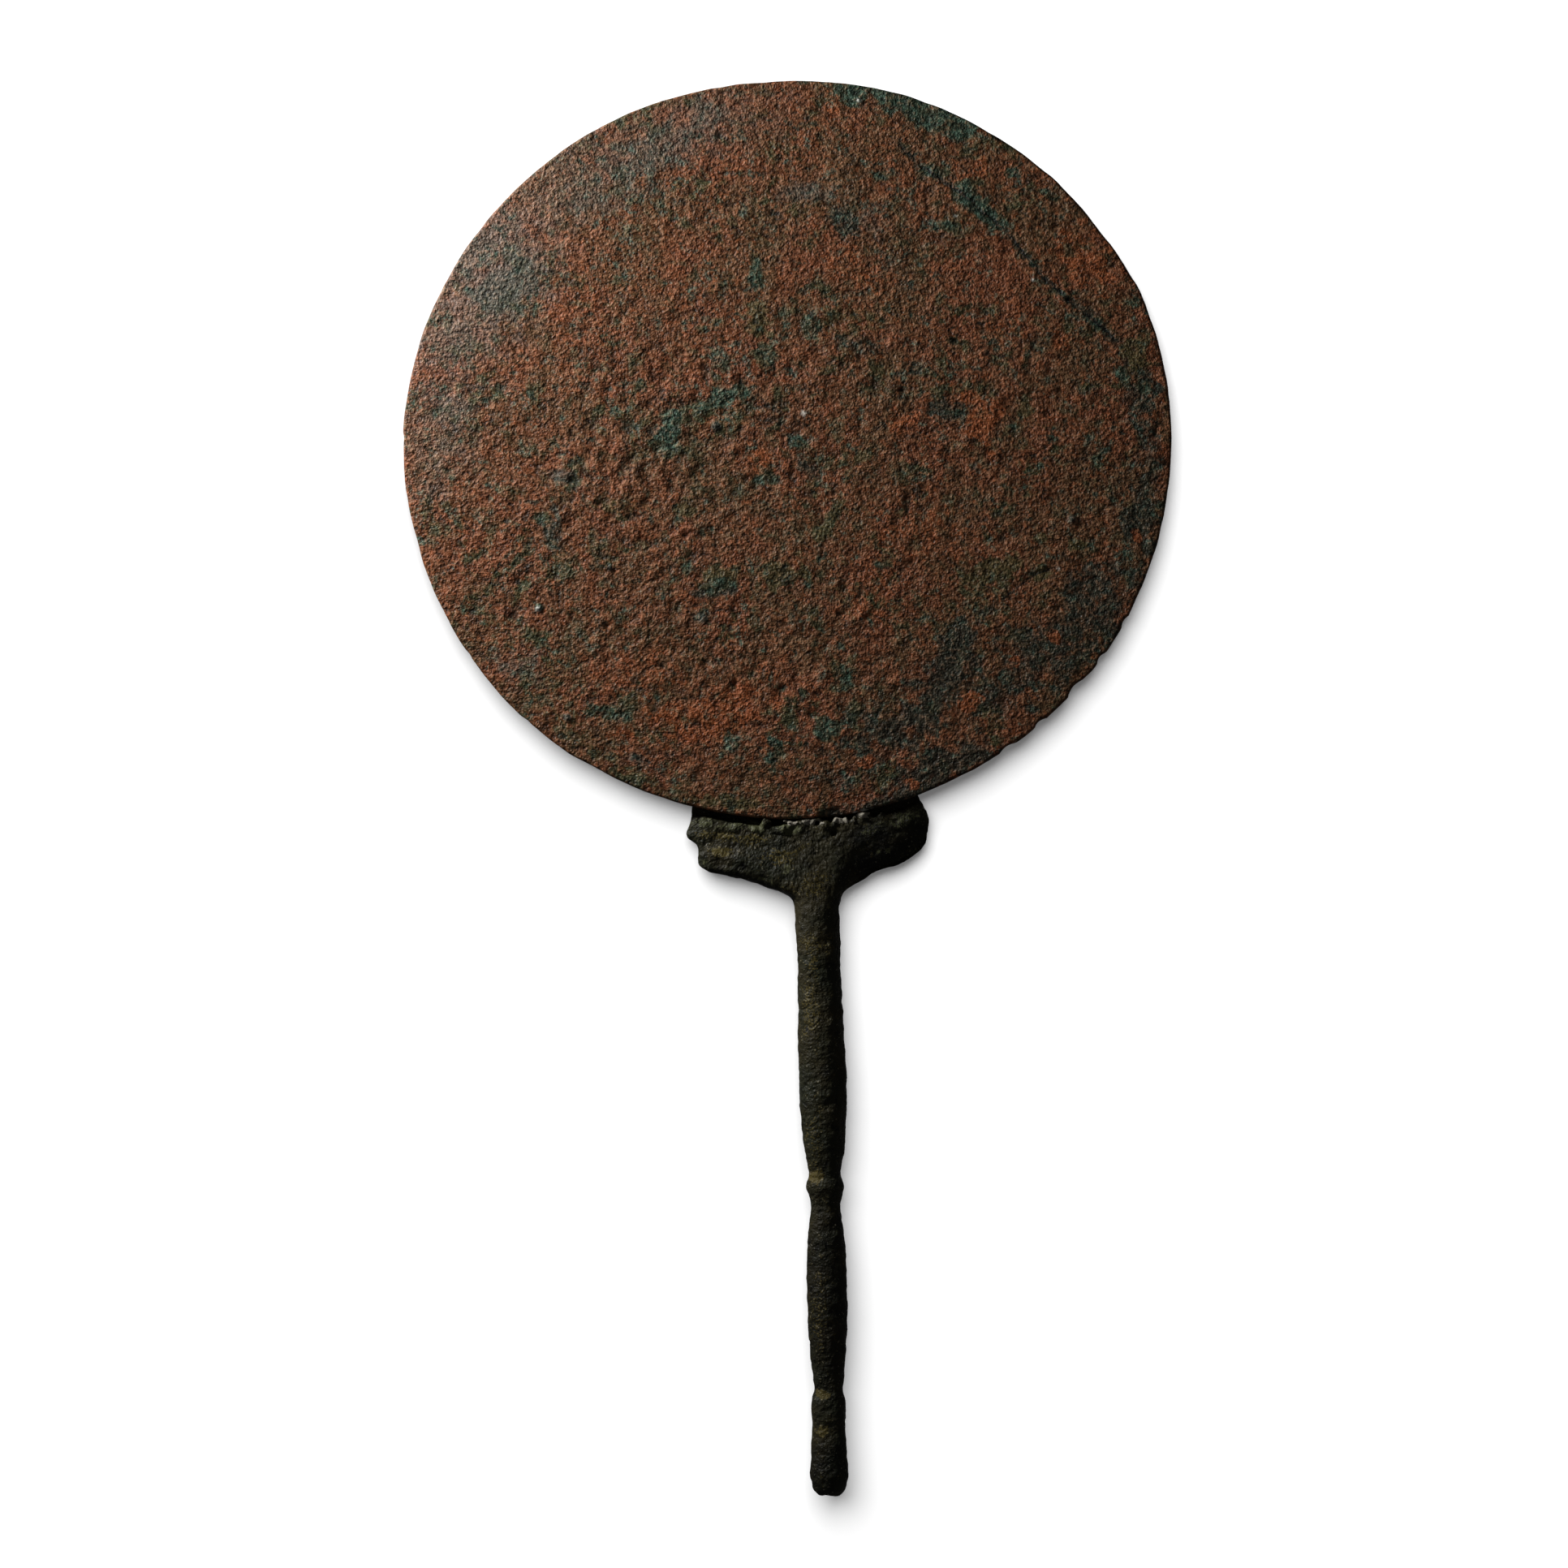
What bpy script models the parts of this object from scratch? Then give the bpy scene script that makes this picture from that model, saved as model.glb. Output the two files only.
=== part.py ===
"""A bronze hand mirror lying on its back: an oval disc, and a handle cast in one with its bracket.

The mirror is drawn in a frame of its own: the disc's centre is the origin, the handle points along -Y, and the
disc's flat back edge lies in the plane Z = 0. An empty then leans that frame, so that the disc's far edge and the
bracket's back rest on the floor.
"""

import math

import bmesh
import bpy
import numpy as np
from mathutils import Vector

# Disc: an oval plate with a slightly domed face and a slightly hollow back
DISC_LENGTH = 0.1286
DISC_BREADTH = 0.1237
OVAL_TURN = math.radians(5.9)
RIM_THICKNESS = 0.0020
RIM_ROUNDING = 0.0005
FACE_DOME = 0.0006
BACK_HOLLOW = 0.0004
# Slow waves of the hammered edge: waves round the disc, height, angle of a crest
EDGE_WAVES = (
    (3, 0.00018, math.radians(34)),
    (7, 0.00011, math.radians(18.5)),
)
# Dents in the edge, with old swellings as negative depths: angle, half width, depth
EDGE_DENTS = (
    (math.radians(321), math.radians(1.7), 0.00044),
    (math.radians(296), math.radians(2.5), 0.00016),
    (math.radians(240), math.radians(1.8), 0.00016),
    (math.radians(194), math.radians(2.0), 0.00018),
    (math.radians(167), math.radians(4.0), 0.00013),
    (math.radians(35), math.radians(3.0), 0.00022),
    (math.radians(23), math.radians(2.0), -0.00032),
    (math.radians(46), math.radians(2.0), -0.00016),
)
RIM_STEPS = 180

# Joint: the ledge reaches behind the disc, and a dark groove parts the disc's edge from the bracket's lip
GROOVE_WIDTH = 0.0013
LEDGE_GAP = 0.0003
LIP_BELOW_FACE = 0.0004

# Bracket: distance below the disc's lowest edge, reach to the left and to the right of the bracket's middle
BRACKET_OFFSET = 0.0034
BRACKET_OUTLINE = (
    (-0.0060, 0.0129, 0.0126),
    (-0.0055, 0.0164, 0.0161),
    (-0.0045, 0.0186, 0.0184),
    (-0.0030, 0.0196, 0.0190),
    (0.0001, 0.0197, 0.0202),
    (0.0024, 0.0206, 0.0200),
    (0.0032, 0.0203, 0.0198),
    (0.0042, 0.0189, 0.0195),
    (0.0052, 0.0185, 0.0189),
    (0.0065, 0.0186, 0.0171),
    (0.0072, 0.0185, 0.0159),
    (0.0079, 0.0182, 0.0143),
    (0.0085, 0.0173, 0.0124),
    (0.0092, 0.0152, 0.0107),
    (0.0099, 0.0116, 0.0095),
    (0.0106, 0.0091, 0.0084),
    (0.0113, 0.0073, 0.0072),
    (0.0119, 0.0056, 0.0063),
    (0.0126, 0.0038, 0.0057),
    (0.0133, 0.0027, 0.0054),
    (0.0140, 0.0024, 0.0053),
)
# Bracket's crowned front, as its rise above the lip, and its back, as its depth behind the disc's back
BRACKET_RISE = ((-0.0060, -0.0002), (0.0010, 0.0), (0.0050, 0.0005), (0.0090, 0.0011))
BRACKET_DEPTH = ((-0.0060, 0.0013), (-0.0030, 0.0022), (0.0010, 0.0029), (0.0060, 0.0031), (0.0100, 0.0030))
# How square a section is: 2 is an ellipse, more is flatter with tighter edges
BRACKET_SQUARENESS = ((-0.0060, 3.6), (0.0080, 3.2), (0.0120, 2.3))

# Rod: starts below the bracket and drifts to the right with a slight bow
ROD_START = 0.0153
ROD_LENGTH = 0.0974
ROD_WIDTH = 0.0080
ROD_DEPTH_SHARE = 0.84
ROD_SQUARENESS = 2.15
ROD_HEIGHT = 0.00035
ROD_OFFSET = 0.0015
ROD_DRIFT = 0.0020
ROD_BOW = 0.00035
# Turned outline: share of the rod's length, share of its width
ROD_OUTLINE = (
    (0.000, 0.925),
    (0.029, 0.925),
    (0.112, 0.895),  # slimmest part of the long shaft
    (0.196, 0.962),
    (0.251, 1.000),  # swelling of the long shaft
    (0.336, 0.978),
    (0.391, 0.890),
    (0.419, 0.800),
    (0.448, 0.662),  # neck above the ring
    (0.458, 0.670),
    (0.465, 0.760),
    (0.475, 0.790),  # ring
    (0.486, 0.715),
    (0.503, 0.625),  # neck below the ring
    (0.518, 0.650),
    (0.531, 0.700),
    (0.587, 0.812),
    (0.670, 0.855),  # swelling of the lower baluster
    (0.755, 0.755),
    (0.810, 0.615),
    (0.822, 0.612),  # neck above the collar
    (0.832, 0.690),
    (0.852, 0.722),  # collar
    (0.880, 0.676),
    (0.909, 0.730),
    (0.964, 0.800),  # knob at the end
    (0.978, 0.765),
    (0.991, 0.655),
    (1.000, 0.450),
)
SECTION_POINTS = 28
RINGS_BETWEEN = 2

# Rest: the bracket's back is worn flat where it meets the floor
REST_FLAT_DEPTH = 0.00015
REST_DISTANCE = 0.0060
CUTTER_MARGIN = 0.02


def clear_scene():
    for old in list(bpy.data.objects):
        bpy.data.objects.remove(old, do_unlink=True)


def new_collection(name):
    collection = bpy.data.collections.new(name)
    bpy.context.scene.collection.children.link(collection)
    return collection


def metal(name, colour, roughness):
    material = bpy.data.materials.new(name)
    material.use_nodes = True
    shader = material.node_tree.nodes["Principled BSDF"]
    shader.inputs["Base Color"].default_value = (*colour, 1.0)
    shader.inputs["Metallic"].default_value = 0.6
    shader.inputs["Roughness"].default_value = roughness
    return material


def smooth_through(rows, at):
    """A smooth curve through rows of (place, value) that never swings past them."""
    places, values = np.array(rows, dtype=float).T
    steps = np.diff(places)
    slopes = np.diff(values) / steps
    tangents = np.zeros(len(values))
    tangents[0] = slopes[0]
    tangents[-1] = slopes[-1]
    for i in range(1, len(values) - 1):
        before, after = slopes[i - 1], slopes[i]
        if before * after > 0:
            tangents[i] = 2 * before * after / (before + after)
    i = int(np.clip(np.searchsorted(places, at, side="right") - 1, 0, len(steps) - 1))
    t = float(np.clip((at - places[i]) / steps[i], 0, 1))
    start = values[i] * (1 + 2 * t) * (1 - t) ** 2 + tangents[i] * steps[i] * t * (1 - t) ** 2
    end = values[i + 1] * t * t * (3 - 2 * t) + tangents[i + 1] * steps[i] * t * t * (t - 1)
    return start + end


def rim_radius(angle):
    """Distance from the disc's centre to its edge: an oval with slow waves and dents."""
    along = math.cos(angle - OVAL_TURN) / (DISC_LENGTH / 2)
    across = math.sin(angle - OVAL_TURN) / (DISC_BREADTH / 2)
    radius = 1 / math.hypot(along, across)
    for count, height, crest in EDGE_WAVES:
        radius += height * math.cos(count * (angle - crest))
    for place, half_width, depth in EDGE_DENTS:
        away = math.remainder(angle - place, 2 * math.pi)
        radius -= depth * math.exp(-((away / half_width) ** 2))
    return radius


def add_object(name, mesh, collection, material=None):
    made = bpy.data.objects.new(name, mesh)
    collection.objects.link(made)
    if material:
        mesh.materials.append(material)
    return made


def face_outwards(mesh):
    work = bmesh.new()
    work.from_mesh(mesh)
    bmesh.ops.recalc_face_normals(work, faces=work.faces)
    work.to_mesh(mesh)
    work.free()


def turned_oval(name, profile):
    """A profile of (distance beyond the rim's mean radius, height), turned and then fitted to the oval edge."""
    mean_radius = (DISC_LENGTH + DISC_BREADTH) / 4
    outline = bpy.data.meshes.new(name)
    points = [(max(mean_radius + beyond, 0.0), 0.0, height) for beyond, height in profile]
    outline.from_pydata(points, [(i, i + 1) for i in range(len(points) - 1)], [])
    guide = bpy.data.objects.new(name + "_profile", outline)
    bpy.context.scene.collection.objects.link(guide)
    screw = guide.modifiers.new("turn", "SCREW")
    screw.axis = "Z"
    screw.steps = RIM_STEPS
    screw.render_steps = RIM_STEPS
    screw.use_merge_vertices = True
    screw.merge_threshold = 0.00001
    evaluated = guide.evaluated_get(bpy.context.evaluated_depsgraph_get())
    mesh = bpy.data.meshes.new_from_object(evaluated)
    mesh.name = name
    bpy.data.objects.remove(guide, do_unlink=True)
    for vertex in mesh.vertices:
        share = rim_radius(math.atan2(vertex.co.y, vertex.co.x)) / mean_radius
        vertex.co.x *= share
        vertex.co.y *= share
    face_outwards(mesh)
    return mesh


def disc_profile():
    """The disc's half section from the middle of its face, over the rounded rim, to the middle of its back."""
    mean_radius = (DISC_LENGTH + DISC_BREADTH) / 4
    flat_radius = mean_radius - RIM_ROUNDING
    front = []
    back = []
    for share in (0.0, 0.45, 0.8):
        beyond = share * flat_radius - mean_radius
        front.append((beyond, RIM_THICKNESS + FACE_DOME * (1 - share**2)))
        back.append((beyond, BACK_HOLLOW * (1 - share**2)))
    corner = RIM_ROUNDING * (1 - math.sqrt(0.5))
    rim = [
        (-RIM_ROUNDING, RIM_THICKNESS),
        (-corner, RIM_THICKNESS - corner),
        (0.0, RIM_THICKNESS - RIM_ROUNDING),
        (0.0, RIM_ROUNDING),
        (-corner, corner),
        (-RIM_ROUNDING, 0.0),
    ]
    return front + rim + back[::-1]


def handle_section(distance):
    """Left, right, lowest and highest reach of the handle at a distance below the disc, and its squareness."""
    if distance < ROD_START:
        rod = rod_section(ROD_START)
        left = smooth_through([(d, -l) for d, l, _ in BRACKET_OUTLINE] + [(ROD_START, rod[0])], distance)
        right = smooth_through([(d, r) for d, _, r in BRACKET_OUTLINE] + [(ROD_START, rod[1])], distance)
        lip = RIM_THICKNESS - LIP_BELOW_FACE
        back = smooth_through([(d, -depth) for d, depth in BRACKET_DEPTH] + [(ROD_START, rod[2])], distance)
        front = smooth_through([(d, lip + rise) for d, rise in BRACKET_RISE] + [(ROD_START, rod[3])], distance)
        square = smooth_through(BRACKET_SQUARENESS + ((ROD_START, ROD_SQUARENESS),), distance)
        return left, right, back, front, square
    return rod_section(distance)


def rod_section(distance):
    along = (distance - ROD_START) / ROD_LENGTH
    half_width = smooth_through(ROD_OUTLINE, along) * ROD_WIDTH / 2
    half_depth = half_width * ROD_DEPTH_SHARE
    middle = ROD_OFFSET + ROD_DRIFT * along + 4 * ROD_BOW * along * (1 - along)
    return (
        middle - half_width,
        middle + half_width,
        ROD_HEIGHT - half_depth,
        ROD_HEIGHT + half_depth,
        ROD_SQUARENESS,
    )


def section_ring(distance):
    """The closed curve round the handle at one distance, as points in the mirror's frame."""
    left, right, back, front, square = handle_section(distance)
    middle = (left + right) / 2
    height = (front + back) / 2
    ring = []
    for i in range(SECTION_POINTS):
        turn = 2 * math.pi * i / SECTION_POINTS
        across = math.copysign(abs(math.cos(turn)) ** (2 / square), math.cos(turn))
        up = math.copysign(abs(math.sin(turn)) ** (2 / square), math.sin(turn))
        x = BRACKET_OFFSET + middle + across * (right - left) / 2
        z = height + up * (front - back) / 2
        ring.append(Vector((x, -rim_radius(-math.pi / 2) - distance, z)))
    return ring


def ring_distances():
    stations = [row[0] for row in BRACKET_OUTLINE]
    stations += [ROD_START + share * ROD_LENGTH for share, _ in ROD_OUTLINE]
    distances = []
    for start, end in zip(stations, stations[1:]):
        for step in range(RINGS_BETWEEN):
            distances.append(start + (end - start) * step / RINGS_BETWEEN)
    return distances + [stations[-1]]


def handle_mesh():
    """The bracket and the rod as one loft through their sections, closed at both ends."""
    work = bmesh.new()
    rings = []
    for distance in ring_distances():
        rings.append([work.verts.new(point) for point in section_ring(distance)])
    for near, far in zip(rings, rings[1:]):
        for i in range(SECTION_POINTS):
            j = (i + 1) % SECTION_POINTS
            work.faces.new((near[i], near[j], far[j], far[i]))
    work.faces.new(rings[0])
    work.faces.new(rings[-1])
    bmesh.ops.recalc_face_normals(work, faces=work.faces)
    mesh = bpy.data.meshes.new("handle")
    work.to_mesh(mesh)
    work.free()
    return mesh


def cut(target, cutter):
    cutter.hide_render = True
    cutter.display_type = "WIRE"
    boolean = target.modifiers.new(cutter.name, "BOOLEAN")
    boolean.operation = "DIFFERENCE"
    boolean.solver = "EXACT"
    boolean.object = cutter


def seat_cutter(collection):
    """The disc's oval with the groove round it, from just behind the disc's back up through the lip."""
    top = RIM_THICKNESS + CUTTER_MARGIN
    mean_radius = (DISC_LENGTH + DISC_BREADTH) / 4
    profile = [(-mean_radius, top), (GROOVE_WIDTH, top), (GROOVE_WIDTH, -LEDGE_GAP), (-mean_radius, -LEDGE_GAP)]
    return add_object("seat_cutter", turned_oval("seat_cutter", profile), collection)


def floor_cutter(collection):
    """Everything below the floor, which wears the bracket's back flat."""
    side = DISC_LENGTH + ROD_LENGTH
    work = bmesh.new()
    bmesh.ops.create_cube(work, size=1.0)
    bmesh.ops.scale(work, vec=(side, 2 * side, CUTTER_MARGIN), verts=work.verts)
    bmesh.ops.translate(work, vec=(0, 0, -CUTTER_MARGIN / 2), verts=work.verts)
    mesh = bpy.data.meshes.new("floor_cutter")
    work.to_mesh(mesh)
    work.free()
    return add_object("floor_cutter", mesh, collection)


def world_points(piece):
    evaluated = piece.evaluated_get(bpy.context.evaluated_depsgraph_get())
    return np.array([piece.matrix_world @ vertex.co for vertex in evaluated.data.vertices])


def lay_down(mirror, disc, handle):
    """Lean the mirror until its far edge and the bracket's back reach the floor, over the origin."""
    rest_span = rim_radius(math.pi / 2) + rim_radius(-math.pi / 2) + REST_DISTANCE
    rest_depth = smooth_through([(d, depth) for d, depth in BRACKET_DEPTH], REST_DISTANCE)
    mirror.rotation_euler.x = -math.atan2(rest_depth - REST_FLAT_DEPTH, rest_span)
    bpy.context.view_layer.update()
    disc_points = world_points(disc)
    points = np.concatenate([disc_points, world_points(handle)])
    middle = (points.min(axis=0) + points.max(axis=0)) / 2
    mirror.location = (-middle[0], -middle[1], -disc_points[:, 2].min())
    bpy.context.view_layer.update()


def main():
    clear_scene()
    parts = new_collection("bronze_mirror")
    cutters = new_collection("cutters")
    mirror = bpy.data.objects.new("mirror", None)
    parts.objects.link(mirror)
    brown = metal("disc_patina", (0.11, 0.05, 0.028), 0.6)
    black = metal("handle_patina", (0.025, 0.022, 0.014), 0.55)
    disc = add_object("disc", turned_oval("disc", disc_profile()), parts, brown)
    handle = add_object("handle", handle_mesh(), parts, black)
    seat = seat_cutter(cutters)
    for piece in (disc, handle, seat):
        piece.parent = mirror
    cut(handle, seat)
    lay_down(mirror, disc, handle)
    cut(handle, floor_cutter(cutters))
    for piece in (disc, handle):
        piece.data.shade_smooth()
        piece.data.set_sharp_from_angle(angle=math.radians(40))


main()
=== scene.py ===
import itertools
import math

import bmesh
import bpy
import numpy as np
from mathutils import Matrix, Vector


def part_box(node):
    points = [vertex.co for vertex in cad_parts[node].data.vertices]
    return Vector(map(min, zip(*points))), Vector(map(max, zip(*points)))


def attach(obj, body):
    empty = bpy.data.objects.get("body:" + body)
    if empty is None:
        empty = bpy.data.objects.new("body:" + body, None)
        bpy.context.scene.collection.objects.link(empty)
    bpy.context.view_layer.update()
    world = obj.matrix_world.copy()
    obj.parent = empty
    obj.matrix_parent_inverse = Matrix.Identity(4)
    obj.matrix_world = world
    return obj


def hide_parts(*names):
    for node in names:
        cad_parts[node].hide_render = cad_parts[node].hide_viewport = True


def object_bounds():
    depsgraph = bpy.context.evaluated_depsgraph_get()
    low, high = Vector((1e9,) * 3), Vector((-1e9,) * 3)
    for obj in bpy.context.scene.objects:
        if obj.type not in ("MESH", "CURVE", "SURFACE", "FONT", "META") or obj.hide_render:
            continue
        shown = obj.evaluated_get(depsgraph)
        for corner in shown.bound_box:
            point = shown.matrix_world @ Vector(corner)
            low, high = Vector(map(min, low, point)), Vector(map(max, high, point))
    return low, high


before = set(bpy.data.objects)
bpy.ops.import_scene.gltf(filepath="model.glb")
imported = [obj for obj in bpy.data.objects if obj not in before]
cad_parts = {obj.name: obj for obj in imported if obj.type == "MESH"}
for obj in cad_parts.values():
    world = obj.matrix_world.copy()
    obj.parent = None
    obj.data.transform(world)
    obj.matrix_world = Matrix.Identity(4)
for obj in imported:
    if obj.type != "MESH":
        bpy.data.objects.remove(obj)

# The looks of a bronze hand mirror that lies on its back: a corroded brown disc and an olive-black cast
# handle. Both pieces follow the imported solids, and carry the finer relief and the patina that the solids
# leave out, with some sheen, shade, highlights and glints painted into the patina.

MM = 0.001
CAD_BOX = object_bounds()

# Where things lie in the photograph, in its own pixels
FRAME_PIXELS = 1932
FRAME_MIDDLE = (966, 966)
DISC_MIDDLE = (970.2, 553.8)
DISC_WIDTH_PIXELS = 946

# Camera
LENS = 100.0
SENSOR = 36.0

# Fineness of the disc's mesh: rings from the middle to the rim, each with six more points than the one
# inside it, steps round the rim's edge, and places at which the solid's outline is read
FRONT_RINGS = 150
BACK_RINGS = 75
RIM_LEVELS = 10
OUTLINE_STEPS = 180

# Fineness of the handle's mesh
HANDLE_VOXEL = 0.28 * MM
HANDLE_SMOOTHING = 8

# Patches of patina on the disc: place in the photograph, half length, half width, turn from level, strength
TEAL_PATCHES = (
    (1125, 132, 85, 20, -24, 0.8),
    (1180, 152, 34, 16, -28, 1.0),
    (1052, 116, 26, 16, -10, 0.9),
    (1214, 262, 36, 13, -48, 1.0),
    (1192, 240, 22, 18, -20, 0.8),
    (1150, 210, 20, 11, -10, 0.6),
    (1092, 216, 22, 8, 0, 0.6),
    (1162, 281, 30, 8, 0, 0.5),
    (1250, 214, 11, 8, 0, 0.45),
    (1296, 243, 16, 7, -35, 0.45),
    (1398, 372, 11, 9, 0, 0.6),
    (932, 338, 10, 18, 0, 0.6),
    (944, 436, 20, 12, 10, 0.6),
    (890, 444, 16, 18, 0, 0.5),
    (1000, 402, 12, 22, 0, 0.5),
    (1383, 460, 16, 9, -50, 0.8),
    (1410, 476, 14, 8, -40, 0.6),
    (822, 538, 17, 26, -10, 1.0),
    (836, 514, 14, 10, 40, 0.8),
    (892, 490, 34, 13, 22, 0.9),
    (1178, 506, 14, 8, 0, 0.5),
    (992, 566, 12, 8, -25, 0.5),
    (978, 546, 14, 8, -30, 0.6),
    (945, 592, 18, 8, 0, 0.6),
    (668, 640, 8, 12, 0, 0.5),
    (650, 556, 13, 11, 0, 0.5),
    (894, 720, 24, 9, 8, 0.5),
    (848, 700, 9, 8, 0, 0.6),
    (666, 748, 10, 8, 0, 0.6),
    (1084, 698, 9, 7, 0, 0.6),
    (1042, 836, 11, 14, 0, 0.9),
    (986, 852, 8, 8, 0, 0.7),
    (1018, 898, 30, 13, 12, 0.8),
    (902, 922, 13, 20, 20, 0.6),
    (952, 930, 11, 22, -10, 0.6),
    (752, 874, 26, 14, -30, 0.5),
    (1350, 560, 12, 17, 0, 0.4),
    (1376, 610, 12, 15, 0, 0.4),
    (1390, 690, 14, 22, 0, 0.4),
)
# Slate grey patina, with painted sheen in the patches on the upper left and along the left rim
SLATE_AND_SHEEN_PATCHES = (
    (622, 350, 50, 38, 40, 0.9),
    (600, 300, 60, 26, 48, 0.6),
    (800, 190, 90, 34, 20, 0.7),
    (870, 140, 40, 26, 10, 0.6),
    (755, 245, 60, 22, 10, 0.5),
    (996, 236, 42, 13, 0, 0.7),
    (1072, 272, 18, 18, 0, 0.6),
    (560, 420, 28, 34, 60, 0.5),
    (556, 500, 22, 34, 80, 0.5),
    (642, 822, 36, 26, -20, 0.5),
    (694, 588, 20, 9, -10, 0.7),
    (780, 936, 24, 10, -20, 0.5),
)
# Dark grey-green patina, and painted shade where the face darkens towards the lower and right rim
DEEP_AND_SHADE_PATCHES = (
    (1172, 812, 70, 26, 62, 1.0),
    (1136, 876, 36, 30, 50, 1.0),
    (1290, 800, 90, 50, 30, 0.75),
    (1230, 862, 52, 38, 0, 0.7),
    (1090, 906, 60, 32, -8, 0.85),
    (1150, 950, 92, 26, 22, 0.9),
    (1112, 980, 62, 13, 18, 1.0),
    (1356, 744, 60, 56, 45, 0.75),
    (1406, 640, 26, 92, 0, 0.8),
    (1050, 962, 50, 20, 0, 0.5),
    (1412, 540, 16, 50, 0, 0.6),
    (1158, 277, 32, 7, 5, 0.7),
    (1040, 268, 24, 34, 0, 0.7),
    (998, 574, 22, 14, -25, 1.0),
    (880, 728, 26, 11, 8, 1.0),
    (678, 654, 17, 28, 0, 0.9),
    (972, 716, 14, 18, 0, 0.6),
    (912, 448, 20, 10, 30, 0.5),
    (1164, 842, 60, 44, 40, 0.7),
    (1088, 318, 20, 10, 0, 0.6),
    (1052, 424, 34, 12, -10, 0.6),
    (1130, 452, 12, 20, 0, 0.7),
    (1170, 508, 32, 14, -10, 0.9),
    (1117, 354, 18, 9, -20, 0.6),
    (1404, 484, 24, 38, 0, 0.8),
    (866, 758, 16, 12, 0, 0.6),
)
OLIVE_PATCHES = (
    (1216, 704, 40, 22, 10, 0.9),
    (1190, 770, 60, 24, 20, 0.5),
    (1046, 400, 42, 34, 0, 0.6),
    (936, 396, 24, 24, 0, 0.8),
    (1020, 640, 50, 10, 60, 0.9),
    (962, 708, 36, 24, 20, 1.1),
    (886, 712, 34, 18, 0, 0.9),
    (1060, 566, 26, 10, 50, 0.8),
    (750, 622, 15, 13, 0, 0.8),
    (846, 626, 18, 12, 0, 0.8),
    (1262, 502, 12, 20, 0, 0.7),
    (1286, 664, 12, 9, 0, 0.8),
    (1326, 672, 13, 9, 0, 0.8),
    (1400, 440, 20, 40, 0, 0.8),
    (1282, 708, 16, 9, 30, 0.9),
    (700, 890, 60, 20, -38, 0.5),
    (905, 990, 70, 9, -4, 0.8),
    (690, 830, 60, 40, 0, 0.45),
    (600, 770, 40, 60, 20, 0.4),
    (770, 946, 60, 12, -32, 0.6),
)
RED_PATCHES = (
    (1208, 520, 26, 46, -10, 0.9),
    (1116, 522, 26, 18, 0, 0.7),
    (866, 884, 96, 34, 12, 0.8),
    (790, 830, 80, 40, 20, 0.5),
    (950, 850, 50, 40, 0, 0.5),
    (1072, 744, 44, 40, 0, 0.5),
    (1336, 320, 52, 40, -45, 0.7),
    (1310, 420, 14, 12, 0, 0.7),
    (1190, 220, 44, 26, 40, 0.6),
    (1240, 400, 40, 30, 0, 0.5),
    (1060, 330, 50, 40, 0, 0.5),
    (1120, 650, 70, 40, 0, 0.5),
    (1028, 132, 9, 16, 0, 0.7),
    (940, 566, 24, 18, 0, 0.7),
    (1180, 690, 30, 16, 0, 0.6),
    (1296, 784, 14, 8, -40, 1.2),
    (1250, 812, 10, 8, 0, 1.2),
    (1196, 866, 18, 12, 0, 1.0),
    (1068, 940, 12, 8, 0, 1.0),
    (1120, 962, 14, 9, 0, 0.9),
    (1400, 660, 7, 10, 0, 1.1),
    (720, 640, 80, 60, 0, 0.3),
)
# Where the corrosion stands higher, and where the face is worn smoother and painted with a grey sheen
ROUGH_PATCHES = (
    (820, 560, 190, 150, 30, 0.9),
    (760, 720, 150, 110, 0, 0.7),
    (1010, 470, 120, 100, 0, 0.7),
    (960, 760, 140, 110, 0, 0.6),
    (1200, 520, 90, 70, 0, 0.4),
    (600, 600, 90, 60, 0, 0.4),
)
WORN_AND_SHEEN_PATCHES = (
    (590, 350, 150, 80, 55, 1.0),
    (690, 230, 110, 60, 40, 0.6),
    (545, 520, 110, 45, 85, 0.6),
    (860, 150, 120, 45, 8, 0.4),
)
# Small raised knobs of corrosion, and light specks of painted glint: place and radius in pixels
KNOBS = (
    (882, 526, 7), (866, 762, 7), (1060, 124, 4), (664, 750, 4),
    (1320, 640, 5), (700, 884, 6), (752, 700, 4),
)
GLINT_SPECKS = (
    (1057, 123, 3.0), (663, 750, 3.5), (990, 510, 3.5),
    (1273, 345, 2.2), (1178, 266, 1.6), (1303, 700, 2.2),
)

# The crack across the upper right, from its faint start to its end near the rim
CRACK_LINE = (
    (1108, 178), (1140, 208), (1163, 224), (1190, 243), (1214, 264), (1238, 284),
    (1262, 314), (1290, 346), (1322, 374), (1352, 398), (1384, 430),
)
CRACK_CRUSTS = (
    (1150, 208, 9), (1190, 240, 14), (1214, 264, 16),
    (1274, 324, 9), (1310, 364, 8), (1352, 398, 12),
)
# The gouge at the right, a cut edge with a smooth hollow beside it
GOUGE_LINE = ((1228, 746), (1246, 730), (1262, 716), (1282, 706), (1298, 700))
GOUGE_HOLLOW = (1284, 712, 17, 8, 20, 1.0)
# Small nicks in the disc's edge at the lower right: place and radius in pixels
RIM_NICKS = ((1324, 848, 15), (1242, 923, 12), (1357, 812, 9), (1281, 890, 10), (1381, 764, 10))
# The flake lost from the disc's edge above the joint, and broken lines of painted highlight along that edge
EDGE_FLAKE = (1027, 1002, 17, 7, 8, 1.0)
FLAKE_GLINT_EDGE = ((1016, 1011), (1026, 1010), (1036, 1009), (1046, 1004))
GLINT_EDGE = ((1050, 1002), (1058, 1000), (1066, 998), (1074, 994))

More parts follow.
